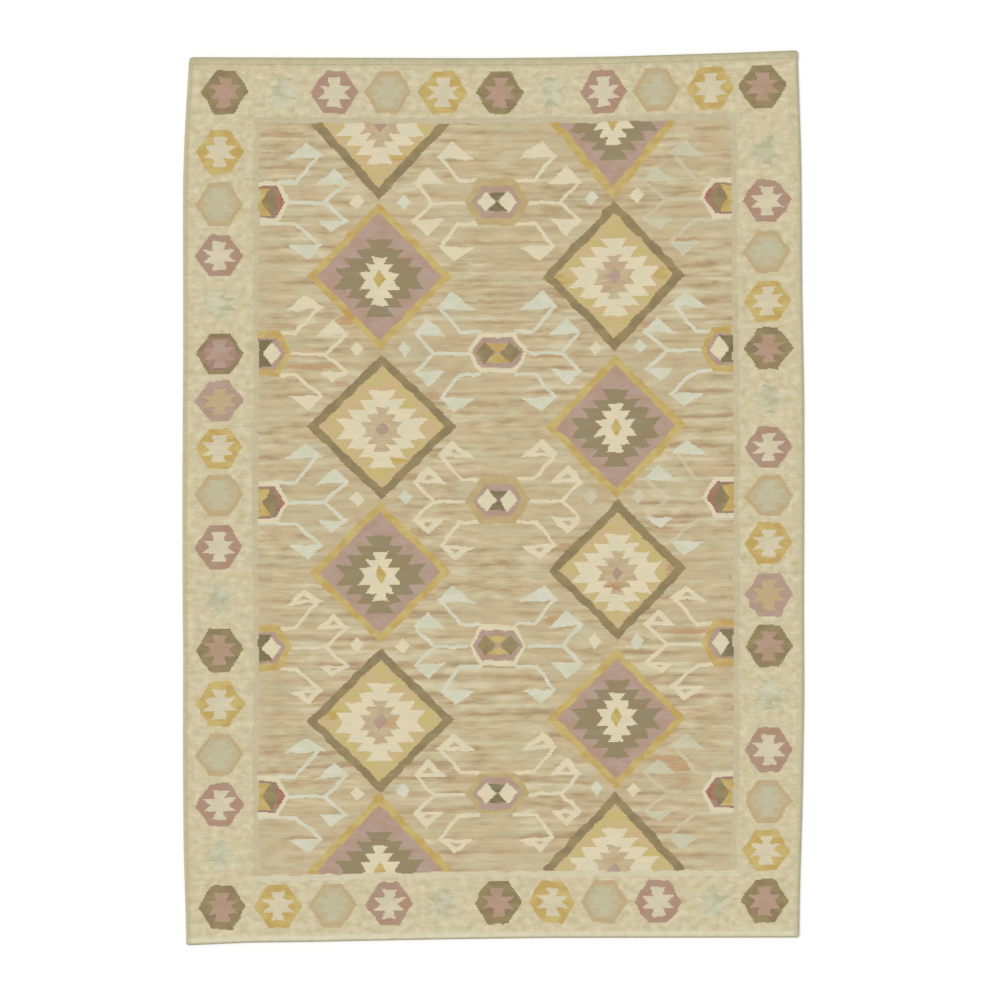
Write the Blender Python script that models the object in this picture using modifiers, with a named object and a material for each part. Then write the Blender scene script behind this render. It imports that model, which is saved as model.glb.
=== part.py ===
# Flat-woven kilim rug: one cloth lying flat, with plain end hems and corded selvedges.
# Lengths are in metres, +Z is up, +Y runs along the warp, and the origin is on the floor
# at the centre of the rug's outline.

import math

import bpy
import bmesh
import numpy as np

# Driving dimensions
rug_width = 1.600
rug_length = 2.300
cloth_thickness = 0.0048

hem_width = 0.020
hem_thickness = 0.0066
selvedge_width = 0.013
selvedge_thickness = 0.0058
rim_thickness = 0.0045

edge_step = 0.004
rim_radius = 0.0016
rim_segments = 2
rim_angle = math.radians(60)

field_columns = 12
field_rows = 30

# Corner rounding seen from above, as the cloth was pulled in on the loom.
corner_radius = {
    ("left", "near"): 0.005,
    ("right", "near"): 0.010,
    ("left", "far"): 0.011,
    ("right", "far"): 0.004,
}

# How far each edge of the cloth lies outside the nominal rectangle.
# Columns: place along the edge from the centre of the rug, offset outwards.
left_edge = [
    (-1.150, -0.0078),
    (-1.038, -0.0052),
    (-0.909, -0.0011),
    (-0.651, 0.0010),
    (-0.393, 0.0002),
    (-0.264, 0.0017),
    (0.046, 0.0022),
    (0.381, 0.0002),
    (0.819, 0.0007),
    (0.962, -0.0039),
    (1.052, -0.0094),
    (1.114, -0.0127),
    (1.150, -0.0160),
]
right_edge = [
    (-1.150, -0.0112),
    (-1.038, -0.0096),
    (-0.909, -0.0060),
    (-0.780, -0.0019),
    (-0.522, 0.0018),
    (-0.300, 0.0007),
    (0.000, 0.0017),
    (0.252, 0.0015),
    (0.510, -0.0032),
    (0.871, -0.0060),
    (1.000, -0.0104),
    (1.150, -0.0150),
]
near_edge = [
    (-0.787, 0.0034),
    (-0.743, 0.0028),
    (-0.680, -0.0025),
    (-0.563, -0.0036),
    (-0.369, -0.0067),
    (-0.240, -0.0100),
    (0.147, -0.0155),
    (0.785, -0.0162),
]
far_edge = [
    (-0.785, -0.0122),
    (-0.240, -0.0139),
    (-0.040, -0.0148),
    (0.276, -0.0119),
    (0.431, -0.0069),
    (0.637, -0.0007),
    (0.785, 0.0052),
]


def clear_scene():
    for obj in list(bpy.data.objects):
        bpy.data.objects.remove(obj, do_unlink=True)


def edge_offset(table, place):
    """Offset of an edge at a place along it, read between the table's rows."""
    places, offsets = zip(*table)
    return float(np.interp(place, places, offsets))


def stations(full, band, middle_count):
    """Places across the cloth: close together in both edge bands, even in between."""
    half = full / 2
    band_places = [0.0, edge_step, band - edge_step, band]
    lower = [-half + place for place in band_places]
    upper = [half - place for place in reversed(band_places)]
    inner = [
        -half + band + (full - 2 * band) * index / middle_count
        for index in range(1, middle_count)
    ]
    return lower + inner + upper


def round_corner(x, y):
    """Moves a point that lies outside the rounded corner of the nominal rectangle onto its arc."""
    side = "left" if x < 0 else "right"
    end = "near" if y < 0 else "far"
    radius = corner_radius[side, end]
    centre_x = math.copysign(rug_width / 2 - radius, x)
    centre_y = math.copysign(rug_length / 2 - radius, y)
    beyond_x = abs(x) - abs(centre_x)
    beyond_y = abs(y) - abs(centre_y)
    reach = math.hypot(beyond_x, beyond_y)
    if beyond_x <= 0 or beyond_y <= 0 or reach <= radius:
        return x, y
    pull = radius / reach
    return centre_x + (x - centre_x) * pull, centre_y + (y - centre_y) * pull


def on_outline(x, y):
    """A point of the nominal rectangle, moved as the real edges bulge or draw in."""
    left = -edge_offset(left_edge, y)
    right = edge_offset(right_edge, y)
    near = -edge_offset(near_edge, x)
    far = edge_offset(far_edge, x)
    across = x / rug_width + 0.5
    along = y / rug_length + 0.5
    return x + left + (right - left) * across, y + near + (far - near) * along


def band_share(distance, band):
    """0 at the cloth's edge and inside the band, 1 on the band's crest."""
    if distance < edge_step:
        return distance / edge_step
    if distance <= band - edge_step:
        return 1.0
    return max(0.0, (band - distance) / edge_step)


def thickness_at(x, y):
    """Thickness of the cloth: thicker over the turned hems and the corded selvedges."""
    from_side = rug_width / 2 - abs(x)
    from_end = rug_length / 2 - abs(y)
    base = cloth_thickness
    if min(from_side, from_end) < edge_step:
        share = min(from_side, from_end) / edge_step
        base = rim_thickness + (cloth_thickness - rim_thickness) * share
    over_hem = (hem_thickness - cloth_thickness) * band_share(from_end, hem_width)
    over_cord = (selvedge_thickness - cloth_thickness) * band_share(from_side, selvedge_width)
    return base + max(over_hem, over_cord)


def cloth_mesh():
    """The underside of the cloth as an open grid, with the thickness above each point."""
    columns = stations(rug_width, selvedge_width, field_columns)
    rows = stations(rug_length, hem_width, field_rows)
    grid = bmesh.new()
    bmesh.ops.create_grid(
        grid, x_segments=len(columns) - 1, y_segments=len(rows) - 1, size=0.5
    )
    grid.verts.ensure_lookup_table()
    thickness = []
    for vert in grid.verts:
        x = columns[round((vert.co.x + 0.5) * (len(columns) - 1))]
        y = rows[round((vert.co.y + 0.5) * (len(rows) - 1))]
        thickness.append(thickness_at(x, y))
        vert.co.x, vert.co.y = on_outline(*round_corner(x, y))
        vert.co.z = 0.0
    for axis in (0, 1):
        values = [vert.co[axis] for vert in grid.verts]
        middle = (min(values) + max(values)) / 2
        for vert in grid.verts:
            vert.co[axis] -= middle
    mesh = bpy.data.meshes.new("kilim_rug")
    grid.to_mesh(mesh)
    grid.free()
    return mesh, thickness


def yarn_material():
    """Dry, matt jute and wool yarn in a faded sand colour."""
    material = bpy.data.materials.new("faded_sand_yarn")
    material.use_nodes = True
    shader = material.node_tree.nodes["Principled BSDF"]
    shader.inputs["Base Color"].default_value = (0.57, 0.47, 0.30, 1.0)
    shader.inputs["Roughness"].default_value = 0.92
    shader.inputs["Metallic"].default_value = 0.0
    return material


def build_rug(collection):
    mesh, thickness = cloth_mesh()
    rug = bpy.data.objects.new("kilim_rug", mesh)
    collection.objects.link(rug)
    rug.data.materials.append(yarn_material())

    thickest = max(thickness)
    weights = rug.vertex_groups.new(name="thickness")
    for index, value in enumerate(thickness):
        weights.add([index], value / thickest, "REPLACE")

    solid = rug.modifiers.new("cloth_thickness", "SOLIDIFY")
    solid.thickness = thickest
    solid.offset = 1.0
    solid.vertex_group = weights.name

    rim = rug.modifiers.new("rounded_rim", "BEVEL")
    rim.limit_method = "ANGLE"
    rim.angle_limit = rim_angle
    rim.width = rim_radius
    rim.segments = rim_segments
    return rug


def main():
    clear_scene()
    collection = bpy.data.collections.new("jute_kilim_rug")
    bpy.context.scene.collection.children.link(collection)
    build_rug(collection)


main()
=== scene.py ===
import math

import bpy
import numpy as np
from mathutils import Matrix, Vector


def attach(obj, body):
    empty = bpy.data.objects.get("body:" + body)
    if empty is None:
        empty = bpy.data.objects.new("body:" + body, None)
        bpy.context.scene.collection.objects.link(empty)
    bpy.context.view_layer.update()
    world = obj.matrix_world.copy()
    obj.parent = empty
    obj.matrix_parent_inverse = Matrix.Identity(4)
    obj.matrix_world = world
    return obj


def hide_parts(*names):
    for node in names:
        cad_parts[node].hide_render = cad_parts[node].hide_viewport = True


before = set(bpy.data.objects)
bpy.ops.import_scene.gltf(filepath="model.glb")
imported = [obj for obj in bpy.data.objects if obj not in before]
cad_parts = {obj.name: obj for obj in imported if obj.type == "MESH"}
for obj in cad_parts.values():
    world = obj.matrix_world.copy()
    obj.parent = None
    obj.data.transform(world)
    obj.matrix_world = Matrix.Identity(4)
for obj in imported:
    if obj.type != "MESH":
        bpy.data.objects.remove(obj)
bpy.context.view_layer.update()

# A flat-woven kilim seen from straight above. Its pattern is worked out on the loom: u runs
# along the weft and v along the warp, in metres from the middle of the cloth. The woven
# cloth is then laid onto the slightly uneven outline of the frame's own rug.
loom = {
    "width": 1.600,            # woven width, also the flat width of the sheet
    "length": 2.300,           # woven length
    "pickPitch": 0.0025,       # one pick of weft, a row of the chart
    "warpPitch": 0.004,        # one warp thread, a column of the chart
    "pickUnevenness": 0.16,    # hand-beaten picks differ by this share of their height
    "straying": 0.0018,        # how far a motif's edge strays from its rule
    "strayEvery": 0.020,       # from one stray point to the next
    "raggedness": 0.006,       # how unevenly the picks of a browner streak begin and end
    "seed": 11,
}
halfWidth = loom["width"] / 2
halfLength = loom["length"] / 2
pickCount = round(loom["length"] / loom["pickPitch"])
warpCount = round(loom["width"] / loom["warpPitch"])
draw = np.random.default_rng(loom["seed"])


def linear(hexCode):
    # sRGB hex as the linear colour that sockets and attributes hold
    parts = [int(hexCode[place:place + 2], 16) / 255 for place in (0, 2, 4)]
    return [p / 12.92 if p <= 0.04045 else ((p + 0.055) / 1.055) ** 2.4 for p in parts] + [1.0]


def addNode(tree, kind, inputs=None, **settings):
    # a node with its settings, and its inputs either linked or set
    node = tree.nodes.new(kind)
    node.location = (190 * (len(tree.nodes) % 9), -230 * (len(tree.nodes) // 9))
    for name, value in settings.items():
        setattr(node, name, value)
    for key, value in (inputs or {}).items():
        if isinstance(value, bpy.types.NodeSocket):
            tree.links.new(value, node.inputs[key])
        else:
            node.inputs[key].default_value = value
    return node


# Each yarn: the two dye baths that it was spun from, and how much of the field's streaky
# dyeing or of the border's mottling it takes.
yarns = {
    "borderCream": ("D0C4A1", "D0C4A1", 0.0, 1.0),
    "lineGrey": ("BEB392", "C3BA9C", 0.0, 0.3),
    "linePale": ("D5CDAF", "D8D1B4", 0.0, 0.3),
    "fieldSand": ("C6B692", "C6B692", 1.0, 0.0),
    "streakBrown": ("B0966E", "BCA37C", 0.30, 0.0),
    "streakRust": ("B98D64", "C09C73", 0.25, 0.0),
    "olive": ("98885F", "8C7B5A", 0.0, 0.0),
    "medallionOlive": ("928768", "968462", 0.0, 0.0),
    "darkOlive": ("786C4E", "857A5A", 0.0, 0.0),
    "mustard": ("C0A25C", "C9B472", 0.0, 0.0),
    "mustardDull": ("BCA473", "C2AE7E", 0.0, 0.0),
    "mustardOrange": ("C39750", "C7A35A", 0.0, 0.0),
    "lozengeGold": ("CDB287", "C7B777", 0.0, 0.0),
    "plum": ("B49C8E", "B2937F", 0.0, 0.0),
    "plumBrown": ("AF9378", "B79684", 0.0, 0.0),
    "plumRim": ("98786A", "AA8777", 0.0, 0.0),
    "plumRed": ("A26A5C", "AC7C6C", 0.0, 0.0),
    "pinkRing": ("AE8A73", "AD9280", 0.0, 0.0),
    "cream": ("E1D4B2", "DAD2B4", 0.0, 0.0),
    "starCream": ("D0C6A8", "D8CDAE", 0.0, 0.0),
    "paleGreen": ("CFD0B6", "D8D5C0", 0.0, 0.0),
    "faintGreen": ("C8C6A9", "CFCBB0", 0.1, 0.0),
    "tanRing": ("C0A478", "BBA981", 0.0, 0.1),
    "tanGround": ("BDB38E", "BFAE83", 0.0, 0.1),
    "tanStar": ("BFBD9D", "C2B798", 0.0, 0.1),
    "ghost": ("B8B592", "CFCCB2", 0.0, 0.0),
    "fieldPale": ("CBC3A4", "D2CDB2", 0.3, 0.0),
    "figureTan": ("BFA685", "C7B591", 0.2, 0.0),
}
yarnNumber = {name: number for number, name in enumerate(yarns)}

pickHeights = 1 + loom["pickUnevenness"] * draw.uniform(-1, 1, pickCount)
pickLines = np.concatenate([[0], np.cumsum(pickHeights)])
pickLines = pickLines / pickLines[-1] * loom["length"] - halfLength
warpLines = np.linspace(-halfWidth, halfWidth, warpCount + 1)


def strayField(amount, every):
    # smooth random offsets over the whole chart, one value for each crossing
    down = int(loom["length"] / every) + 2
    over = int(loom["width"] / every) + 2
    coarse = draw.normal(0, amount, (down, over))
    places = np.linspace(0, over - 1, warpCount)
    rows = np.array([np.interp(places, range(over), line) for line in coarse])
    places = np.linspace(0, down - 1, pickCount)
    return np.array([np.interp(places, range(down), column) for column in rows.T]).T


trueU, trueV = np.meshgrid(
    (warpLines[:-1] + warpLines[1:]) / 2, (pickLines[:-1] + pickLines[1:]) / 2
)
u = trueU + strayField(loom["straying"] * 1.3, loom["strayEvery"])
v = trueV + strayField(loom["straying"], loom["strayEvery"])
raggedEnds = draw.normal(0, loom["raggedness"], (pickCount, 1))
chart = np.full(u.shape, yarnNumber["borderCream"])


def weave(where, yarn, over=None):
    # over limits it to the crossings that one yarn holds already
    if over:
        where = where & (chart == yarnNumber[over])
    chart[where] = yarnNumber[yarn]


def lozenge(place, reach):
    return abs(u - place[0]) / reach[0] + abs(v - place[1]) / reach[1] <= 1


def hexagon(place, reach, flat):
    # flat at the top and bottom, pointed left and right
    up = abs(v - place[1])
    return (up <= reach[1]) & (abs(u - place[0]) <= reach[0] - (reach[0] - flat) * up / reach[1])


def toothed(place, edges, wide, narrow):
    # tiers stacked both ways from the middle, each widest at its far edge, as undercut teeth
    up = abs(v - place[1])
    tier = np.minimum(np.searchsorted(edges, up), len(edges) - 1)
    starts = np.concatenate([[0], edges[:-1]])
    share = (up - starts[tier]) / (np.array(edges) - starts)[tier]
    reach = np.take(narrow, tier) * (1 - share) + np.take(wide, tier) * share
    return (up < edges[-1]) & (abs(u - place[0]) <= reach)


def stroke(points, width):
    near = np.zeros(u.shape, bool)
    for (startU, startV), (endU, endV) in zip(points, points[1:]):
        runU, runV = endU - startU, endV - startV
        share = ((u - startU) * runU + (v - startV) * runV) / (runU ** 2 + runV ** 2)
        share = np.clip(share, 0, 1)
        near |= np.hypot(u - startU - share * runU, v - startV - share * runV) <= width / 2
    return near


def triangle(points):
    sides = []
    for (startU, startV), (endU, endV) in zip(points, points[1:] + points[:1]):
        sides.append((endU - startU) * (v - startV) - (endV - startV) * (u - startU) >= 0)
    return np.all(sides, 0) | ~np.any(sides, 0)


def lens(fromU, toU, at, height):
    # a few picks that taper away at both ends
    share = abs(v - at) / (height / 2)
    taper = (toU - fromU) * 0.35 * share ** 2
    place = u + raggedEnds
    return (share < 1) & (place > fromU + taper) & (place < toU - taper)


# The field inside the border, and the thin line woven round it
field = {
    "left": -0.604, "right": 0.620, "near": -0.975, "far": 0.979,
    "lineWidth": 0.015,
}
inField = (u > field["left"]) & (u < field["right"]) & (v > field["near"]) & (v < field["far"])
around = field["lineWidth"]
weave(
    (u > field["left"] - around) & (u < field["right"] + around)
    & (v > field["near"] - around) & (v < field["far"] + around),
    "lineGrey",
)
weave((v < field["near"]) & (v > field["near"] - around), "linePale", "lineGrey")
weave(inField, "fieldSand")

# Picks of browner weft in the field: from, to, place along the warp, height, yarn
streaks = [
    (-0.120, 0.150, 0.667, 0.007, "streakBrown"), (-0.115, -0.060, 0.612, 0.006, "streakBrown"),
    (-0.090, 0.095, 0.552, 0.006, "streakBrown"), (-0.076, 0.088, 0.513, 0.010, "streakBrown"),
    (-0.070, 0.120, 0.458, 0.009, "streakBrown"), (0.095, 0.195, 0.368, 0.008, "streakRust"),
    (-0.100, 0.070, 0.242, 0.008, "streakBrown"), (-0.060, 0.115, -0.437, 0.012, "streakBrown"),
    (-0.533, -0.400, 0.483, 0.010, "streakBrown"), (-0.535, -0.410, 0.345, 0.014, "streakRust"),
    (-0.410, -0.372, 0.301, 0.018, "streakRust"), (-0.604, -0.505, 0.304, 0.012, "streakBrown"),
    (-0.560, -0.405, -0.735, 0.011, "streakBrown"), (-0.552, -0.420, -0.879, 0.009, "streakBrown"),
    (0.425, 0.560, -0.352, 0.014, "streakRust"), (0.125, 0.178, -0.320, 0.022, "streakRust"),
    (0.385, 0.500, -0.682, 0.016, "streakRust"), (0.442, 0.508, -0.706, 0.024, "streakRust"),
    (-0.225, -0.130, -0.086, 0.026, "streakBrown"), (-0.375, -0.330, -0.428, 0.008, "streakRust"),
    (-0.250, -0.205, -0.428, 0.014, "streakBrown"), (-0.490, -0.440, -0.518, 0.020, "streakRust"),
    (-0.170, -0.105, -0.700, 0.016, "streakBrown"), (0.445, 0.525, 0.668, 0.009, "streakRust"),
    (0.375, 0.408, 0.450, 0.020, "streakRust"), (0.470, 0.525, 0.599, 0.010, "streakBrown"),
    (0.125, 0.180, 0.752, 0.020, "streakBrown"), (0.165, 0.220, -0.124, 0.010, "streakRust"),
    (0.330, 0.405, -0.373, 0.014, "streakBrown"), (0.198, 0.258, -0.746, 0.009, "streakRust"),
    (-0.492, -0.428, 0.842, 0.005, "streakBrown"), (-0.398, -0.350, 0.464, 0.024, "streakRust"),
    (-0.190, -0.130, 0.265, 0.015, "streakRust"), (-0.604, -0.470, 0.948, 0.014, "streakBrown"),
    (-0.604, -0.500, 0.902, 0.007, "streakBrown"), (-0.604, -0.480, 0.866, 0.008, "streakBrown"),
    (0.520, 0.620, 0.955, 0.012, "streakBrown"), (0.150, 0.210, -0.700, 0.010, "streakBrown"),
]
for fromU, toU, at, height, yarn in streaks:
    weave(lens(fromU, toU, at, height) & inField, yarn)

# Ram's-horn arms and their triangular heads. Points are metres from a hexagon's centre,
# drawn for its right side and mirrored for its left.
horns = {
    "armWidth": 0.0092,
    "headGrowth": 1.2,         # how much larger the heads are than the triangles below
    "hollow": 0.36,            # size of the sandy middle in a hollow head
    "centre": {
        "arms": [
            [(0.047, 0.055), (0.095, 0.055), (0.148, 0.119)],
            [(0.083, -0.003), (0.165, -0.003), (0.212, 0.050)],
            [(0.165, -0.003), (0.213, -0.050)],
            [(0.047, -0.056), (0.100, -0.057), (0.145, -0.117)],
        ],
        "heads": [
            [(0.150, 0.118), (0.116, 0.155), (0.066, 0.114)],
            [(0.214, 0.050), (0.180, 0.086), (0.140, 0.048)],
            [(0.213, -0.050), (0.179, -0.083), (0.142, -0.047)],
            [(0.145, -0.117), (0.111, -0.151), (0.068, -0.121)],
        ],
    },
    "edge": {
        "arms": [
            [(0.050, 0.051), (0.094, 0.050), (0.150, 0.117)],
            [(0.083, -0.001), (0.170, -0.001), (0.228, 0.051)],
            [(0.170, -0.001), (0.226, -0.050)],
            [(0.000, -0.054), (0.094, -0.056), (0.161, -0.112)],
        ],
        "heads": [
            [(0.077, 0.113), (0.120, 0.148), (0.161, 0.119)],
            [(0.155, 0.048), (0.194, 0.083), (0.228, 0.051)],
            [(0.161, -0.050), (0.187, -0.076), (0.226, -0.050)],
            [(0.084, -0.115), (0.129, -0.144), (0.161, -0.112)],
        ],
    },
}


def hornArms(kind, centre, side, armYarn, headYarn, hollow):
    def placed(points):
        return [(centre[0] + side * pointU, centre[1] + pointV) for pointU, pointV in points]

    def resized(points, share):
        middle = np.mean(points, 0)
        return [tuple(middle + (np.array(point) - middle) * share) for point in points]

    for points in horns[kind]["heads"]:
        head = placed(points)
        weave(triangle(resized(head, horns["headGrowth"])) & inField, headYarn)
        if hollow:
            weave(triangle(resized(head, horns["hollow"])) & inField, "figureTan")
    for points in horns[kind]["arms"]:
        weave(stroke(placed(points), horns["armWidth"]) & inField, armYarn)


# Hexagons in the middle of the field and halves of them at its sides, in two schemes
hexagonSchemes = {
    "mustard": {
        "outline": "mustardDull", "flat": 0.047, "inside": (0.064, 0.042), "insideFlat": 0.037,
        "diamonds": "cream", "diamond": (0.024, 0.0285), "apart": 0.0285, "wedge": "darkOlive",
        "halfOutline": "cream", "halfReach": (0.081, 0.053), "halfFlat": 0.050,
        "halfInside": (0.070, 0.041), "halfInsideFlat": 0.044,
        "halfDiamond": (0.024, 0.036), "halfDiamondAt": 0.032,
        "rim": "plumRim", "halfDiamondYarn": "olive", "corner": "mustard", "tip": "plumRed",
    },
    "cream": {
        "outline": "cream", "flat": 0.046, "inside": (0.066, 0.040), "insideFlat": 0.040,
        "diamonds": "olive", "diamond": (0.025, 0.028), "apart": 0.031, "wedge": "mustard",
        "halfOutline": "mustard", "halfReach": (0.085, 0.060), "halfFlat": 0.052,
        "halfInside": (0.070, 0.041), "halfInsideFlat": 0.044,
        "halfDiamond": (0.025, 0.030), "halfDiamondAt": 0.033,
        "rim": "plum", "halfDiamondYarn": "cream", "corner": "darkOlive", "tip": "plum",
    },
}
# Yarns of the arms and of the heads: centre, left edge, right edge
hexagonRows = [
    {"at": 0.774, "scheme": "mustard", "reach": (0.084, 0.061), "hollow": (),
     "centre": ("cream", "cream"), "left": ("paleGreen", "paleGreen"),
     "right": ("fieldPale", "faintGreen")},
    {"at": 0.380, "scheme": "cream", "reach": (0.079, 0.052), "hollow": (),
     "centre": ("paleGreen", "paleGreen"), "left": ("cream", "cream"),
     "right": ("paleGreen", "paleGreen")},
    {"at": -0.006, "scheme": "mustard", "reach": (0.084, 0.061), "hollow": ("centre",),
     "centre": ("cream", "cream"), "left": ("paleGreen", "paleGreen"),
     "right": ("fieldPale", "paleGreen")},
    {"at": -0.384, "scheme": "cream", "reach": (0.073, 0.054), "hollow": ("left", "right"),
     "centre": ("paleGreen", "paleGreen"), "left": ("cream", "cream"),
     "right": ("cream", "cream")},
    {"at": -0.771, "scheme": "mustard", "reach": (0.082, 0.052), "hollow": ("centre",),
     "centre": ("cream", "cream"), "left": ("paleGreen", "paleGreen"),
     "right": ("fieldPale", "faintGreen")},
]
centreU = 0.012
for row in hexagonRows:
    look, centre = hexagonSchemes[row["scheme"]], (centreU, row["at"])
    for side in (-1, 1):
        hornArms("centre", centre, side, *row["centre"], "centre" in row["hollow"])
    weave(hexagon(centre, row["reach"], look["flat"]), look["outline"])
    weave(hexagon(centre, look["inside"], look["insideFlat"]), "plum")
    for up in (-1, 1):
        base = row["at"] + up * look["diamond"][1] * 0.85
        wedge = [(centreU - look["apart"], base), (centreU + look["apart"], base), centre]
        weave(triangle(wedge), look["wedge"])
    for side in (-1, 1):
        weave(lozenge((centreU + side * look["apart"], row["at"]), look["diamond"]), look["diamonds"])
    for edgeName, edge, side in (("left", field["left"], 1), ("right", field["right"], -1)):
        centre = (edge, row["at"])
        hornArms("edge", centre, side, *row[edgeName], edgeName in row["hollow"])
        weave(hexagon(centre, look["halfReach"], look["halfFlat"]) & inField, look["halfOutline"])
        inside = hexagon(centre, look["halfInside"], look["halfInsideFlat"]) & inField
        weave(inside, look["rim"])
        diamondU = edge + side * look["halfDiamondAt"]
        fromDiamond = side * (u - diamondU)
        weave(inside & (fromDiamond < 0) & (abs(v - row["at"]) < 0.035), look["corner"])
        weave(inside & (fromDiamond > 0.012) & (abs(v - row["at"]) < 0.020), look["tip"])
        weave(
            lozenge((diamondU, row["at"]), look["halfDiamond"]) & inside,
            look["halfDiamondYarn"],
        )

# Lozenges: where each lies, its half width and half height, its scheme, and how far its
# medallion, its figure and its core lie above the middle
lozenges = [
    (-0.292, 0.977, 0.180, 0.198, "gold", -0.004, -0.004, -0.004),
    (-0.292, 0.580, 0.187, 0.194, "plum", -0.005, -0.012, -0.006),
    (-0.287, 0.188, 0.193, 0.190, "gold", -0.005, -0.006, -0.008),
    (-0.291, -0.191, 0.182, 0.184, "plum", -0.006, -0.010, -0.004),
    (-0.291, -0.577, 0.191, 0.189, "gold", -0.004, -0.004, -0.003),
    (-0.292, -0.967, 0.187, 0.199, "plum", 0.000, 0.000, -0.004),
    (0.314, 0.984, 0.170, 0.208, "plum", -0.004, -0.002, -0.006),
    (0.315, 0.577, 0.185, 0.196, "gold", -0.002, -0.002, 0.001),
    (0.316, 0.184, 0.180, 0.189, "plum", -0.004, -0.003, -0.002),
    (0.320, -0.190, 0.179, 0.183, "gold", -0.007, -0.008, -0.008),
    (0.318, -0.579, 0.180, 0.183, "plum", 0.000, 0.004, 0.004),
    (0.317, -0.970, 0.186, 0.203, "gold", 0.004, 0.004, -0.002),
]
medallion = {
    "edges": (0.027, 0.052, 0.076, 0.101),
    "wide": (0.116, 0.088, 0.061, 0.036),
    "narrow": (0.094, 0.073, 0.044, 0.019),
}
lozengeSchemes = {
    "gold": {
        "outline": "olive", "outlineWidth": 0.030, "ground": "lozengeGold", "medallion": "cream",
        "figure": "figureTan", "edges": (0.020, 0.039, 0.057),
        "wide": (0.053, 0.038, 0.020), "narrow": (0.040, 0.024, 0.010),
        "core": "plum", "coreReach": (0.017, 0.021),
    },
    "plum": {
        "outline": "mustard", "outlineWidth": 0.0255, "ground": "plum",
        "medallion": "medallionOlive",
        "figure": "cream", "edges": (0.022, 0.044, 0.063),
        "wide": (0.054, 0.036, 0.021), "narrow": (0.036, 0.022, 0.011),
        "core": "mustard", "coreReach": (0.015, 0.025),
    },
}
for placeU, placeV, reachU, reachV, scheme, medallionUp, figureUp, coreUp in lozenges:
    look = lozengeSchemes[scheme]
    inner = 1 - look["outlineWidth"] / reachU
    weave(lozenge((placeU, placeV), (reachU, reachV)) & inField, look["outline"])
    weave(lozenge((placeU, placeV), (reachU * inner, reachV * inner)) & inField, look["ground"])
    tiers = toothed((placeU, placeV + medallionUp), *(medallion[k] for k in ("edges", "wide", "narrow")))
    weave(tiers & inField, look["medallion"])
    tiers = toothed((placeU, placeV + figureUp), *(look[k] for k in ("edges", "wide", "narrow")))
    weave(tiers & inField, look["figure"])
    weave(lozenge((placeU, placeV + coreUp), look["coreReach"]) & inField, look["core"])

# Short lengths of another dye bath: from, to, place along the warp, height, old and new yarn
redyed = [
    (0.272, 0.348, 0.556, 0.020, "figureTan", "streakRust"),
    (0.290, 0.345, -0.232, 0.022, "figureTan", "streakRust"),
    (-0.290, -0.240, -0.580, 0.030, "figureTan", "streakRust"),
    (-0.340, -0.250, -0.545, 0.012, "figureTan", "streakBrown"),
    (0.445, 0.475, -0.188, 0.040, "lozengeGold", "streakRust"),
    (0.420, 0.460, 0.580, 0.030, "lozengeGold", "mustard"),
    (0.160, 0.200, 0.570, 0.030, "lozengeGold", "mustard"),
    (-0.275, -0.215, 0.100, 0.016, "lozengeGold", "mustard"),
    (-0.265, -0.220, 0.890, 0.018, "lozengeGold", "mustard"),
    (-0.430, -0.390, -0.560, 0.024, "lozengeGold", "mustard"),
    (-0.405, -0.350, 0.470, 0.050, "mustard", "mustardOrange"),
    (-0.255, -0.205, 0.660, 0.040, "mustard", "mustardOrange"),
    (-0.180, -0.130, -0.262, 0.030, "mustard", "mustardOrange"),
    (0.430, 0.480, 0.255, 0.040, "mustard", "mustardOrange"),
    (0.130, 0.175, -0.540, 0.050, "mustard", "mustardOrange"),
]
for fromU, toU, at, height, old, new in redyed:
    weave(lens(fromU, toU, at, height), new, old)

# Small diamonds either side of where two lozenges meet: place and yarn
smallDiamond = {
    "reach": (0.018, 0.020),
    "places": [
        (-0.349, 0.774, "cream"), (-0.228, 0.774, "paleGreen"),
        (0.258, 0.782, "paleGreen"), (0.373, 0.786, "cream"),
        (-0.351, 0.391, "cream"), (-0.229, 0.391, "paleGreen"),
        (0.264, 0.390, "cream"), (0.380, 0.392, "paleGreen"),
        (-0.350, 0.001, "cream"), (-0.227, 0.005, "paleGreen"),
        (0.252, 0.001, "faintGreen"), (0.373, 0.001, "faintGreen"),
        (-0.351, -0.377, "cream"), (-0.233, -0.384, "cream"),
        (0.262, -0.375, "cream"), (0.370, -0.378, "paleGreen"),
        (-0.350, -0.765, "cream"), (-0.232, -0.759, "paleGreen"),
        (0.269, -0.759, "paleGreen"), (0.364, -0.765, "cream"),
    ],
}
for placeU, placeV, yarn in smallDiamond["places"]:
    weave(lozenge((placeU, placeV), smallDiamond["reach"]), yarn)

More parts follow.
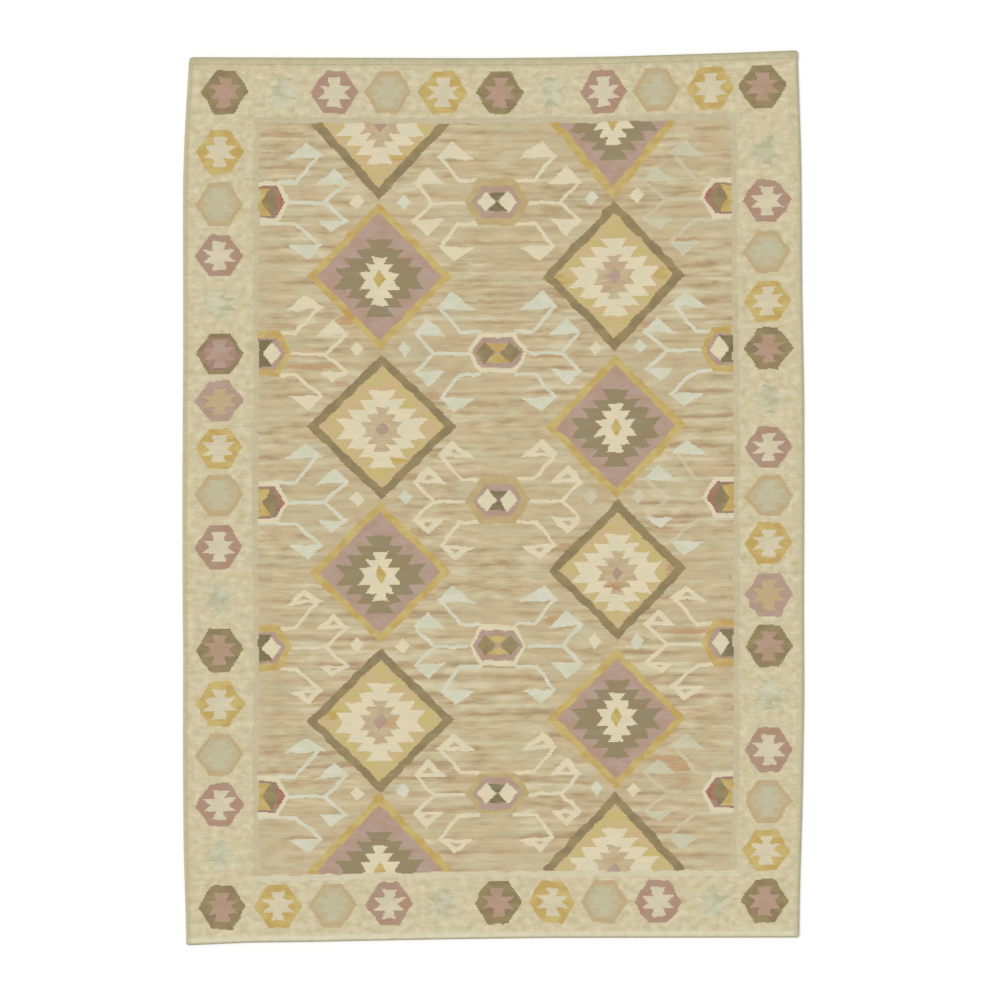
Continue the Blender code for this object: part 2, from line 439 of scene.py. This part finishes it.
# Border hexagons, each with a small toothed star: ring, ground and star
borderHexagon = {
    "reachU": 0.063, "reachShare": 0.42,       # half height as a share of the motifs' spacing
    "endReach": 0.056,                         # half height in the rows at both ends
    "flat": 0.026, "ring": 0.012,
    "starEdges": (0.30, 0.68),                 # shares of the half height
    "starWide": (0.042, 0.019), "starNarrow": (0.023, 0.012),
}
borderKinds = {
    "oliveDark": ("olive", "olive", "plumBrown"),
    "oliveRing": ("olive", "plumRim", "plum"),
    "plumDark": ("plum", "plum", "tanRing"),
    "pink": ("pinkRing", "pinkRing", "starCream"),
    "gold": ("mustard", "mustard", "starCream"),
    "tan": ("tanRing", "tanGround", "tanStar"),
    "ghost": (None, None, "ghost"),
}
borderRows = {
    "far": (0.0905, [
        (-0.701, "oliveDark"), (-0.549, "ghost"), (-0.414, "pink"), (-0.274, "tan"),
        (-0.130, "gold"), (0.019, "oliveDark"), (0.155, "ghost"), (0.290, "pink"),
        (0.427, "tan"), (0.569, "gold"), (0.706, "oliveDark"),
    ]),
    "near": (0.0940, [
        (-0.704, "oliveDark"), (-0.558, "gold"), (-0.415, "tan"), (-0.269, "pink"),
        (-0.128, "ghost"), (0.015, "oliveDark"), (0.156, "gold"), (0.291, "tan"),
        (0.432, "pink"), (0.578, "ghost"), (0.709, "oliveDark"),
    ]),
    "left": (0.0945, [
        (0.904, "gold"), (0.767, "tan"), (0.634, "pink"), (0.510, "ghost"),
        (0.380, "oliveRing"), (0.258, "plumDark"), (0.135, "gold"), (0.014, "tan"),
        (-0.121, "pink"), (-0.258, "ghost"), (-0.388, "oliveDark"), (-0.528, "gold"),
        (-0.660, "tan"), (-0.790, "pink"), (-0.920, "ghost"),
    ]),
    "right": (0.0895, [
        (0.894, "ghost"), (0.762, "pink"), (0.630, "tan"), (0.502, "gold"),
        (0.379, "oliveDark"), (0.246, "ghost"), (0.123, "pink"), (-0.004, "tan"),
        (-0.126, "gold"), (-0.261, "plumDark"), (-0.393, "oliveDark"), (-0.520, "ghost"),
        (-0.663, "pink"), (-0.796, "tan"), (-0.923, "gold"),
    ]),
}
for sideName, (fromEdge, motifs) in borderRows.items():
    spacing = abs(np.gradient([along for along, kind in motifs]))
    for (along, kind), apart in zip(motifs, spacing):
        place = {
            "far": (along, halfLength - fromEdge), "near": (along, fromEdge - halfLength),
            "left": (fromEdge - halfWidth, along), "right": (halfWidth - fromEdge, along),
        }[sideName]
        ring, ground, star = borderKinds[kind]
        reachU, reachV = borderHexagon["reachU"], borderHexagon["endReach"]
        if sideName in ("left", "right"):
            reachV = apart * borderHexagon["reachShare"]
        if ring:
            thick = borderHexagon["ring"]
            weave(hexagon(place, (reachU, reachV), borderHexagon["flat"]), ring)
            weave(
                hexagon(place, (reachU - thick, reachV - thick), borderHexagon["flat"] - thick / 3),
                ground,
            )
        edges = np.array(borderHexagon["starEdges"]) * reachV
        weave(toothed(place, edges, borderHexagon["starWide"], borderHexagon["starNarrow"]), star)
print("Chart woven:", pickCount, "picks by", warpCount, "warps")


cloth = {
    "thickness": 0.0048,
    "hemRise": 0.0018, "hemWidth": 0.020,              # turned hems at both ends
    "selvedgeRise": 0.0010, "selvedgeWidth": 0.013,    # corded sides
    "edgeRound": 0.004,
    "ribHeight": 0.0007,                               # two picks make one rib
    "unevenness": 0.0003, "unevenEvery": 0.14,
    "topInset": 0.0012, "underInset": 0.0010,          # how far the faces stop inside the rim
    "keptColumns": 40,                                 # warps between the columns every pick keeps
    "backPicks": 2, "backWarps": 2,                    # the underside is woven this much coarser
}


def rimOf(nodeName):
    # the upright rim of the frame's rug, as the four sides of its outline
    mesh = bpy.data.objects[nodeName].data
    points = np.empty(len(mesh.vertices) * 3)
    mesh.vertices.foreach_get("co", points)
    points = points.reshape(-1, 3)
    low, high = 0.0009, 0.0040
    rim = points[(points[:, 2] > low) & (points[:, 2] < high)]
    x, y = rim[:, 0], rim[:, 1]
    sides = {}
    for name, here, other, place, value in (
        ("left", -x - halfWidth, abs(y) - halfLength, y, x),
        ("right", x - halfWidth, abs(y) - halfLength, y, x),
        ("near", -y - halfLength, abs(x) - halfWidth, x, y),
        ("far", y - halfLength, abs(x) - halfWidth, x, y),
    ):
        mine = here >= other - 1e-6
        order = np.argsort(place[mine])
        sides[name] = (place[mine][order], value[mine][order])
    return sides


outline = rimOf("kilim_rug")


def laidOut(loomU, loomV):
    # loom places as places on the floor, inside the outline
    x, y = loomU.copy(), loomV.copy()
    for _ in range(4):
        left, right = np.interp(y, *outline["left"]), np.interp(y, *outline["right"])
        near, far = np.interp(x, *outline["near"]), np.interp(x, *outline["far"])
        x = left + (right - left) * (loomU / loom["width"] + 0.5)
        y = near + (far - near) * (loomV / loom["length"] + 0.5)
    return x, y


def runsOf(codes, kept):
    # where each pick changes yarn, and the points that its two lines then need
    change = np.zeros((len(codes), warpCount + 1), bool)
    change[:, 1:-1] = codes[:, 1:] != codes[:, :-1]
    change[:, kept] = True
    lines = np.zeros((len(codes) + 1, warpCount + 1), bool)
    lines[:-1] |= change
    lines[1:] |= change
    return change, lines


def clothMesh():
    # one closed sheet: picks as long faces split where the yarn changes, a rim, and a back
    kept = [0, 1, 2, 3, warpCount - 3, warpCount - 2, warpCount - 1, warpCount]
    kept += range(cloth["keptColumns"], warpCount, cloth["keptColumns"])
    step, wide = cloth["backPicks"], cloth["backWarps"]
    topChange, topLines = runsOf(chart, kept)
    backCodes = np.repeat(chart[step // 2::step, wide // 2::wide], wide, 1)
    backChange, backLines = runsOf(backCodes, kept)
    lineAt = np.arange(pickCount + 1)

    faces, codes, picks = [], [], []
    count = 0

    def numbered(mask):
        nonlocal count
        numbers = np.full(mask.shape, -1)
        numbers[mask] = np.arange(count, count + mask.sum())
        count += mask.sum()
        return numbers

    top = numbered(topLines)
    backAt = lineAt[::step]
    backMask = np.zeros((pickCount + 1, warpCount + 1), bool)
    backMask[backAt] = backLines
    backMask[:, [0, -1]] = True                    # the back meets every point of the rim
    back = numbered(backMask)

    for row in range(pickCount):
        breaks = np.flatnonzero(topChange[row])
        for start, end in zip(breaks, breaks[1:]):
            lower, upper = top[row, start:end + 1], top[row + 1, start:end + 1]
            faces.append(np.concatenate([lower[lower >= 0], upper[upper >= 0][::-1]]).tolist())
            codes.append(chart[row, start])
            picks.append(row)
    for row, line in enumerate(backAt[:-1]):
        breaks = np.flatnonzero(backChange[row])
        for start, end in zip(breaks, breaks[1:]):
            lower, upper = back[line, start:end + 1], back[line + step, start:end + 1]
            corner = [lower[lower >= 0][::-1], upper[upper >= 0]]
            between = back[line + 1:line + step]
            if start == 0:
                corner.insert(1, between[:, 0])
            if end == warpCount:
                corner.append(between[::-1, -1])
            faces.append(np.concatenate(corner).tolist())
            codes.append(backCodes[row, start])
            picks.append(line)

    endColumns = np.flatnonzero(topLines[0])
    ring = [(0, w) for w in endColumns]
    ring += [(p, warpCount) for p in range(1, pickCount)]
    ring += [(pickCount, w) for w in endColumns[::-1]]
    ring += [(p, 0) for p in range(pickCount - 1, 0, -1)]
    rimFirst = count
    count += len(ring)
    for place, (line, warp) in enumerate(ring):
        following = (place + 1) % len(ring)
        nextLine, nextWarp = ring[following]
        upperPair = (top[line, warp], top[nextLine, nextWarp])
        lowerPair = (back[line, warp], back[nextLine, nextWarp])
        middlePair = (rimFirst + place, rimFirst + following)
        pick, warpHere = min(line, nextLine, pickCount - 1), min(warp, nextWarp, warpCount - 1)
        for below, above in ((lowerPair, middlePair), (middlePair, upperPair)):
            faces.append([int(below[0]), int(below[1]), int(above[1]), int(above[0])])
            codes.append(chart[pick, warpHere])
            picks.append(pick)

    # loom place, level (1 top, 0 underside) and line of each point
    spots = []
    for mask, inset, level in (
        (topLines, cloth["topInset"], 1.0), (backMask, cloth["underInset"], 0.0),
    ):
        lines, warps = np.nonzero(mask)
        spotU = np.clip(warpLines[warps], inset - halfWidth, halfWidth - inset)
        spotV = np.clip(pickLines[lines], inset - halfLength, halfLength - inset)
        spots.append(np.stack([spotU, spotV, np.full(len(lines), level), lines], 1))
    ringLines, ringWarps = np.array(ring).T
    spots.append(np.stack(
        [warpLines[ringWarps], pickLines[ringLines], np.full(len(ring), 0.5), ringLines], 1
    ))
    spots = np.concatenate(spots)
    x, y = laidOut(spots[:, 0], spots[:, 1])

    mesh = bpy.data.meshes.new("wovenCloth")
    mesh.from_pydata(np.stack([x, y, x * 0], 1).tolist(), [], faces)
    loomPlace = mesh.attributes.new("loomPlace", "FLOAT_VECTOR", "POINT")
    loomPlace.data.foreach_set("vector", np.stack([spots[:, 0], spots[:, 1], x * 0], 1).ravel())
    level = mesh.attributes.new("level", "FLOAT", "POINT")
    level.data.foreach_set("value", spots[:, 2])
    ridgeOfLine = (lineAt % 2) * draw.uniform(0.75, 1.0, pickCount + 1)
    ridge = mesh.attributes.new("ridge", "FLOAT", "POINT")
    ridge.data.foreach_set("value", ridgeOfLine[spots[:, 3].astype(int)])

    codes = np.array(codes)
    dyes = np.array([yarn[2:] for yarn in yarns.values()])
    for name, bath in (("firstBath", 0), ("secondBath", 1)):
        colours = np.array([linear(yarn[bath]) for yarn in yarns.values()])
        attribute = mesh.attributes.new(name, "FLOAT_COLOR", "FACE")
        attribute.data.foreach_set("color", colours[codes].ravel())
    for name, values in (("streaky", dyes[codes, 0]), ("mottled", dyes[codes, 1]), ("pick", picks)):
        attribute = mesh.attributes.new(name, "FLOAT", "FACE")
        attribute.data.foreach_set("value", np.array(values, float))
    addBakeMap(mesh, spots)
    mesh.update()
    print("Cloth:", len(faces), "faces,", sum(len(f) - 2 for f in faces), "triangles")
    return mesh


def addBakeMap(mesh, spots):
    # Top on the left, with the rim's upper half round it, and the underside squeezed in on
    # the right, so that most of an exported texture shows the side that is seen.
    layout = {"margin": 0.004, "topWidth": 0.700, "backFrom": 0.712, "backTo": 0.996}
    margin = layout["margin"]
    cornerPoint = np.empty(len(mesh.loops), int)
    mesh.loops.foreach_get("vertex_index", cornerPoint)
    total = np.empty(len(mesh.polygons), int)
    mesh.polygons.foreach_get("loop_total", total)
    onTop = np.maximum.reduceat(spots[cornerPoint, 2], np.concatenate([[0], np.cumsum(total)[:-1]]))
    onTop = np.repeat(onTop == 1.0, total)
    share = spots[cornerPoint, :2] / [loom["width"], loom["length"]] + 0.5
    place = margin + share * (1 - 2 * margin)
    place[:, 0] *= np.where(onTop, layout["topWidth"], layout["backTo"] - layout["backFrom"])
    place[:, 0] += np.where(onTop, 0, layout["backFrom"])
    bakeMap = mesh.uv_layers.new(name="OFBake")
    bakeMap.uv.foreach_set("vector", place.ravel())


def weftRelief():
    # Geometry Nodes: lifts the flat chart into cloth, with ribs, hems and corded selvedges
    tree = bpy.data.node_groups.new("weftRelief", "GeometryNodeTree")
    tree.interface.new_socket("Geometry", in_out="INPUT", socket_type="NodeSocketGeometry")
    for name in (
        "Thickness", "Hem rise", "Hem width", "Selvedge rise", "Selvedge width",
        "Edge round", "Rib height", "Unevenness", "Uneven every", "Half width", "Half length",
    ):
        tree.interface.new_socket(name, in_out="INPUT", socket_type="NodeSocketFloat")
    tree.interface.new_socket("Yarn", in_out="INPUT", socket_type="NodeSocketMaterial")
    tree.interface.new_socket("Geometry", in_out="OUTPUT", socket_type="NodeSocketGeometry")
    given = addNode(tree, "NodeGroupInput").outputs

    def maths(operation, first, second=0.0):
        return addNode(tree, "ShaderNodeMath", {0: first, 1: second}, operation=operation).outputs[0]

    def named(name, kind="FLOAT"):
        node = addNode(tree, "GeometryNodeInputNamedAttribute", {"Name": name}, data_type=kind)
        return node.outputs["Attribute"]

    def smoothed(value, start, end, startValue=0.0, endValue=1.0):
        node = addNode(tree, "ShaderNodeMapRange", {
            "Value": value, "From Min": start, "From Max": end,
            "To Min": startValue, "To Max": endValue,
        }, interpolation_type="SMOOTHSTEP")
        return node.outputs["Result"]

    loomPlace = named("loomPlace", "FLOAT_VECTOR")
    split = addNode(tree, "ShaderNodeSeparateXYZ", {0: loomPlace}).outputs

    def crest(across, half, width, rise):
        fromEdge = maths("SUBTRACT", half, maths("ABSOLUTE", across))
        lift = smoothed(fromEdge, 0.0, given["Edge round"])
        fall = smoothed(fromEdge, maths("SUBTRACT", width, given["Edge round"]), width, 1.0, 0.0)
        return maths("MULTIPLY", maths("MULTIPLY", lift, fall), rise)

    hem = crest(split["Y"], given["Half length"], given["Hem width"], given["Hem rise"])
    cord = crest(split["X"], given["Half width"], given["Selvedge width"], given["Selvedge rise"])
    scaled = addNode(tree, "ShaderNodeVectorMath", {
        0: loomPlace, "Scale": maths("DIVIDE", 1.0, given["Uneven every"]),
    }, operation="SCALE").outputs["Vector"]
    noise = addNode(tree, "ShaderNodeTexNoise", {"Vector": scaled, "Scale": 1.0, "Detail": 2.0})
    sway = maths("MULTIPLY", maths("SUBTRACT", noise.outputs[0], 0.5), 2.0)
    sway = maths("MULTIPLY", sway, given["Unevenness"])
    sunk = maths("MULTIPLY", maths("SUBTRACT", 1.0, named("ridge")), given["Rib height"])
    height = maths("ADD", given["Thickness"], maths("MAXIMUM", hem, cord))
    height = maths("SUBTRACT", maths("ADD", height, sway), sunk)
    level = named("level")
    lifted = maths("MULTIPLY", level, maths("SUBTRACT", height, sunk))
    offset = addNode(tree, "ShaderNodeCombineXYZ", {"Z": maths("ADD", sunk, lifted)})
    moved = addNode(tree, "GeometryNodeSetPosition", {
        "Geometry": given["Geometry"], "Offset": offset.outputs[0],
    })
    real = addNode(tree, "GeometryNodeRealizeInstances", {0: moved.outputs[0]})
    dressed = addNode(tree, "GeometryNodeSetMaterial", {
        "Geometry": real.outputs[0], "Material": given["Yarn"],
    })
    addNode(tree, "NodeGroupOutput", {0: dressed.outputs[0]})
    return tree


def applied(piece):
    # the evaluated object as a plain mesh, without its modifiers
    depsgraph = bpy.context.evaluated_depsgraph_get()
    mesh = bpy.data.meshes.new_from_object(
        piece.evaluated_get(depsgraph), preserve_all_data_layers=True, depsgraph=depsgraph
    )
    piece.modifiers.clear()
    piece.data = mesh


dyeing = {
    "fieldTones": [          # place on the streaks' scale, colour
        (0.00, "AE9470"), (0.20, "BAA47F"), (0.40, "C2B08B"), (0.58, "C8B892"),
        (0.78, "CDBF9B"), (1.00, "D6CAA9"),
    ],
    "borderTones": [(0.00, "C3B78F"), (0.30, "CCC09C"), (0.60, "D3C8A5"), (1.00, "DED4B3")],
    "sandyPink": "CDB08C", "greyGreen": "C6C5A4", "hueShare": 0.34,
    "hueOnMotifs": 0.25, "hueOnBorder": 0.55,  # how much of that share they take
    "streakLength": 0.065, "streakPicks": 6.5,
    "bandLength": 0.550, "bandPicks": 7.5,
    "swayLength": 0.090, "swayPicks": 2.0,
    "calmLength": 0.260, "calmPicks": 70.0,    # how far calm and streaky parts of the field reach
    "hueLength": 0.130, "huePicks": 15.0,
    "mottleLength": 0.022, "mottlePicks": 7.0,
    "bathLength": 0.050, "bathPicks": 12.0,    # where a motif changes from one bath to the other
    "pickShade": 0.030,                        # how much the picks differ in lightness
    # selvedge and rim are painted shade: the rounded selvedges and the hems' folds at both ends
    "nearStrip": "E2DCC3", "endBand": "B5B08C", "selvedge": "B4AE8A", "rim": "98946F",
    "stripRise": (0.003, 0.007), "stripFall": (0.014, 0.022), "stripShare": 0.55,
    "bandFall": (0.012, 0.042), "bandShare": 0.75, "bandStraying": 0.020,
    # how far in the painted shade of the selvedges and of the hems' folds reaches, and its strongest
    # share
    "selvedgeShadeFall": (0.003, 0.018), "hemFoldShadeFall": (0.002, 0.006), "edgeShadeShare": 0.60,
}


def flatwovenJuteAndWool():
    # Hand-spun jute and wool, woven weft-faced: dry and matt with a little fuzz, every pick
    # a slightly different shade, and the wefts humping over every second warp
    material = bpy.data.materials.new("flatwoven jute and wool")
    material.use_nodes = True
    tree = material.node_tree
    tree.nodes.clear()

    def maths(operation, first, second=0.0, third=0.0):
        inputs = {0: first, 1: second, 2: third}
        return addNode(tree, "ShaderNodeMath", inputs, operation=operation).outputs[0]

    def attribute(name, output="Fac"):
        return addNode(tree, "ShaderNodeAttribute", attribute_name=name).outputs[output]

    def noise(across, along, length, picks, seed, detail=2.0):
        # length in metres along the weft, height in picks
        place = addNode(tree, "ShaderNodeCombineXYZ", {
            "X": maths("DIVIDE", across, length), "Y": maths("DIVIDE", along, picks), "Z": seed,
        })
        node = addNode(tree, "ShaderNodeTexNoise", {
            "Vector": place.outputs[0], "Scale": 1.0, "Detail": detail, "Roughness": 0.55,
        })
        return node.outputs["Fac"]

    def stretched(value, low, high, toLow=0.0, toHigh=1.0):
        return addNode(tree, "ShaderNodeMapRange", {
            "Value": value, "From Min": low, "From Max": high, "To Min": toLow, "To Max": toHigh,
        }).outputs["Result"]

    def tones(value, stops):
        node = addNode(tree, "ShaderNodeValToRGB", {"Fac": value})
        ramp = node.color_ramp
        while len(ramp.elements) < len(stops):
            ramp.elements.new(0.5)
        for element, (place, hexCode) in zip(ramp.elements, stops):
            element.position = place
            element.color = linear(hexCode)
        return node.outputs["Color"]

    def mixed(factor, first, second, blend="MIX"):
        node = addNode(tree, "ShaderNodeMix", {0: factor, 6: first, 7: second},
                       data_type="RGBA", blend_type=blend)
        return node.outputs[2]

    def shaded(colour, shade):
        grey = addNode(tree, "ShaderNodeCombineColor", {"Red": shade, "Green": shade, "Blue": shade})
        return mixed(1.0, colour, grey.outputs[0], "MULTIPLY")

    pick = attribute("pick")
    split = addNode(tree, "ShaderNodeSeparateXYZ", {0: attribute("loomPlace", "Vector")}).outputs
    weft, warp = split["X"], split["Y"]

    # the field: short and long streaks of weft spun from differently dyed wool
    sway = noise(weft, pick, dyeing["swayLength"], 14.0, 17.0, 1.0)
    swayed = maths("MULTIPLY_ADD", sway, dyeing["swayPicks"], pick)
    streaks = noise(weft, swayed, dyeing["streakLength"], dyeing["streakPicks"], 3.0)
    bands = noise(weft, swayed, dyeing["bandLength"], dyeing["bandPicks"], 9.0, 1.0)
    blend = maths("ADD", maths("MULTIPLY", streaks, 0.50), maths("MULTIPLY", bands, 0.50))
    calm = noise(weft, pick, dyeing["calmLength"], dyeing["calmPicks"], 31.0, 1.0)
    gain = stretched(calm, 0.35, 0.65, 2.2, 4.8)
    blend = maths("MULTIPLY_ADD", maths("SUBTRACT", blend, 0.5), gain, 0.5)
    fieldColour = tones(blend, dyeing["fieldTones"])
    mottles = noise(weft, pick, dyeing["mottleLength"], dyeing["mottlePicks"], 5.0, 4.0)
    borderColour = tones(stretched(mottles, 0.30, 0.70), dyeing["borderTones"])

    # motifs: two dye baths in patches
    baths = noise(weft, pick, dyeing["bathLength"], dyeing["bathPicks"], 13.0)
    colour = mixed(
        stretched(baths, 0.40, 0.60), attribute("firstBath", "Color"), attribute("secondBath", "Color")
    )
    colour = mixed(attribute("streaky"), colour, fieldColour)
    colour = mixed(attribute("mottled"), colour, borderColour)

    # the whole cloth leans to a sandy pink in places and to a grey green in others
    hues = noise(weft, pick, dyeing["hueLength"], dyeing["huePicks"], 21.0)
    low, border = dyeing["hueOnMotifs"], dyeing["hueOnBorder"]
    share = maths("MULTIPLY_ADD", attribute("streaky"), 1 - low, low)
    share = maths("MULTIPLY_ADD", attribute("mottled"), border - low, share)
    share = maths("MULTIPLY", share, dyeing["hueShare"])
    pinkShare = maths("MULTIPLY", stretched(hues, 0.48, 0.72), share)
    greenShare = maths("MULTIPLY", stretched(hues, 0.52, 0.28), share)
    colour = mixed(pinkShare, colour, linear(dyeing["sandyPink"]))
    colour = mixed(greenShare, colour, linear(dyeing["greyGreen"]))

    # every pick a slightly different shade
    pickNoise = noise(weft, pick, 0.040, 0.9, 7.0, 1.0)
    spread = dyeing["pickShade"]
    colour = shaded(colour, stretched(pickNoise, 0.3, 0.7, 1 - spread, 1 + spread))

    # a paler strip at the near end, then the far end's band in greyer khaki, then painted shade in
    # greyer khaki along the rounded selvedges and a darker painted shade line where the hems fold
    # under at both ends
    fromSide = maths("SUBTRACT", halfWidth, maths("ABSOLUTE", weft))
    fromNear = maths("ADD", halfLength, warp)
    fromFar = maths("SUBTRACT", halfLength, warp)
    fromEnd = maths("SUBTRACT", halfLength, maths("ABSOLUTE", warp))
    stripRise = stretched(fromNear, *dyeing["stripRise"])
    stripFall = stretched(fromNear, *dyeing["stripFall"], dyeing["stripShare"], 0.0)
    colour = mixed(maths("MULTIPLY", stripRise, stripFall), colour, linear(dyeing["nearStrip"]))
    uneven = maths("MULTIPLY_ADD", hues, dyeing["bandStraying"], fromFar)
    bandFall = stretched(uneven, *dyeing["bandFall"], dyeing["bandShare"], 0.0)
    colour = mixed(bandFall, colour, linear(dyeing["endBand"]))
    # painted shade where the selvedges round over and where the hems fold under
    for edge, place, fall in (("selvedge", fromSide, "selvedgeShadeFall"), ("rim", fromEnd, "hemFoldShadeFall")):
        share = stretched(place, *dyeing[fall], dyeing["edgeShadeShare"], 0.0)
        colour = mixed(share, colour, linear(dyeing[edge]))

    # Humps of weft over every second warp, staggered from pick to pick, given as bump and as
    # painted shade: the colour darkens in the dips between the humps and lightens on their
    # crowns, mixed with the fibres' own random tone. The true 2 to 3 mm grain is drawn at
    # twice the warp pitch, so that it shows at the render's scale.
    turn = maths("MULTIPLY_ADD", weft, math.pi / loom["warpPitch"], maths("MULTIPLY", pick, math.pi))
    hump = maths("MULTIPLY_ADD", maths("COSINE", turn), 0.5, 0.5)
    fibres = noise(weft, pick, 0.0045, 0.35, 2.0, 2.0)
    weaveHeightAndShade = maths("MULTIPLY_ADD", fibres, 0.35, maths("MULTIPLY", hump, 0.65))
    # painted shade of the weave: darker in the dips between humps, lighter on their crowns, with the
    # fibres' random tone
    colour = shaded(colour, stretched(weaveHeightAndShade, 0.1, 0.9, 0.93, 1.05))
    bump = addNode(tree, "ShaderNodeBump", {"Height": weaveHeightAndShade, "Strength": 0.6, "Distance": 0.0006})

    shader = addNode(tree, "ShaderNodeBsdfPrincipled", {
        "Base Color": colour,
        "Roughness": stretched(fibres, 0.2, 0.8, 0.86, 0.96),
        "Normal": bump.outputs["Normal"],
        "IOR": 1.5, "Specular IOR Level": 0.25,
        "Sheen Weight": 0.08, "Sheen Roughness": 0.5,
    })
    addNode(tree, "ShaderNodeOutputMaterial", {"Surface": shader.outputs[0]})
    return material


rug = bpy.data.objects.new("woven_cloth", clothMesh())
bpy.context.collection.objects.link(rug)
relief = rug.modifiers.new("weftRelief", "NODES")
relief.node_group = weftRelief()
reliefInputs = {
    "Thickness": cloth["thickness"], "Hem rise": cloth["hemRise"], "Hem width": cloth["hemWidth"],
    "Selvedge rise": cloth["selvedgeRise"], "Selvedge width": cloth["selvedgeWidth"],
    "Edge round": cloth["edgeRound"], "Rib height": cloth["ribHeight"],
    "Unevenness": cloth["unevenness"], "Uneven every": cloth["unevenEvery"],
    "Half width": halfWidth, "Half length": halfLength, "Yarn": flatwovenJuteAndWool(),
}
for socket in relief.node_group.interface.items_tree:
    if socket.in_out == "INPUT" and socket.name in reliefInputs:
        relief[socket.identifier] = reliefInputs[socket.name]
applied(rug)
for name in ("level", "ridge"):
    if name in rug.data.attributes:
        rug.data.attributes.remove(rug.data.attributes[name])
print("Relief applied:", len(rug.data.polygons), "faces, materials", [m.name for m in rug.data.materials])

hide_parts("kilim_rug")
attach(rug, "root")

studio = {
    "floorSize": 14.0, "floorColour": "FFFFFF",
    "frameWidth": 2.58,                # metres across the photograph at the rug's face
    "aim": (0.0179, -0.0058),          # the frame's middle, from the middle of the rug
    "lens": 120.0,
    "skyStrength": 0.575,
    "sunStrength": 1.80, "sunAngle": 30.0, "sunFrom": (-1.0, 0.45, 1.25),
}


def studioFloor():
    # matt white paper floor, lit evenly and without a visible pattern
    mesh = bpy.data.meshes.new("studioFloor")
    half, drop = studio["floorSize"] / 2, -0.0004
    corners = [(-half, -half, drop), (half, -half, drop), (half, half, drop), (-half, half, drop)]
    mesh.from_pydata(corners, [], [(0, 1, 2, 3)])
    material = bpy.data.materials.new("matt white paper")
    material.use_nodes = True
    shader = material.node_tree.nodes["Principled BSDF"]
    shader.inputs["Base Color"].default_value = linear(studio["floorColour"])
    shader.inputs["Roughness"].default_value = 1.0
    shader.inputs["Specular IOR Level"].default_value = 0.0
    mesh.materials.append(material)
    floor = bpy.data.objects.new("studio_floor", mesh)
    bpy.context.collection.objects.link(floor)


def studioLight():
    world = bpy.data.worlds.new("softStudio")
    bpy.context.scene.world = world
    world.use_nodes = True
    background = world.node_tree.nodes["Background"]
    background.inputs["Color"].default_value = (1.0, 1.0, 1.0, 1.0)
    background.inputs["Strength"].default_value = studio["skyStrength"]
    lamp = bpy.data.lights.new("softKey", "SUN")
    lamp.energy = studio["sunStrength"]
    lamp.angle = math.radians(studio["sunAngle"])
    key = bpy.data.objects.new("softKey", lamp)
    bpy.context.collection.objects.link(key)
    away = -np.array(studio["sunFrom"])
    key.rotation_euler = Vector(away).to_track_quat("-Z", "Y").to_euler()


def studioCamera():
    lens = bpy.data.cameras.new("topCamera")
    lens.lens = studio["lens"]
    lens.sensor_width = 36.0
    lens.clip_end = 100.0
    camera = bpy.data.objects.new("topCamera", lens)
    bpy.context.collection.objects.link(camera)
    distance = studio["frameWidth"] * lens.lens / lens.sensor_width
    camera.location = (studio["aim"][0], studio["aim"][1], cloth["thickness"] + distance)
    bpy.context.scene.camera = camera


studioFloor()
studioLight()
studioCamera()
bpy.context.scene.view_settings.view_transform = "Standard"
print("Studio set")
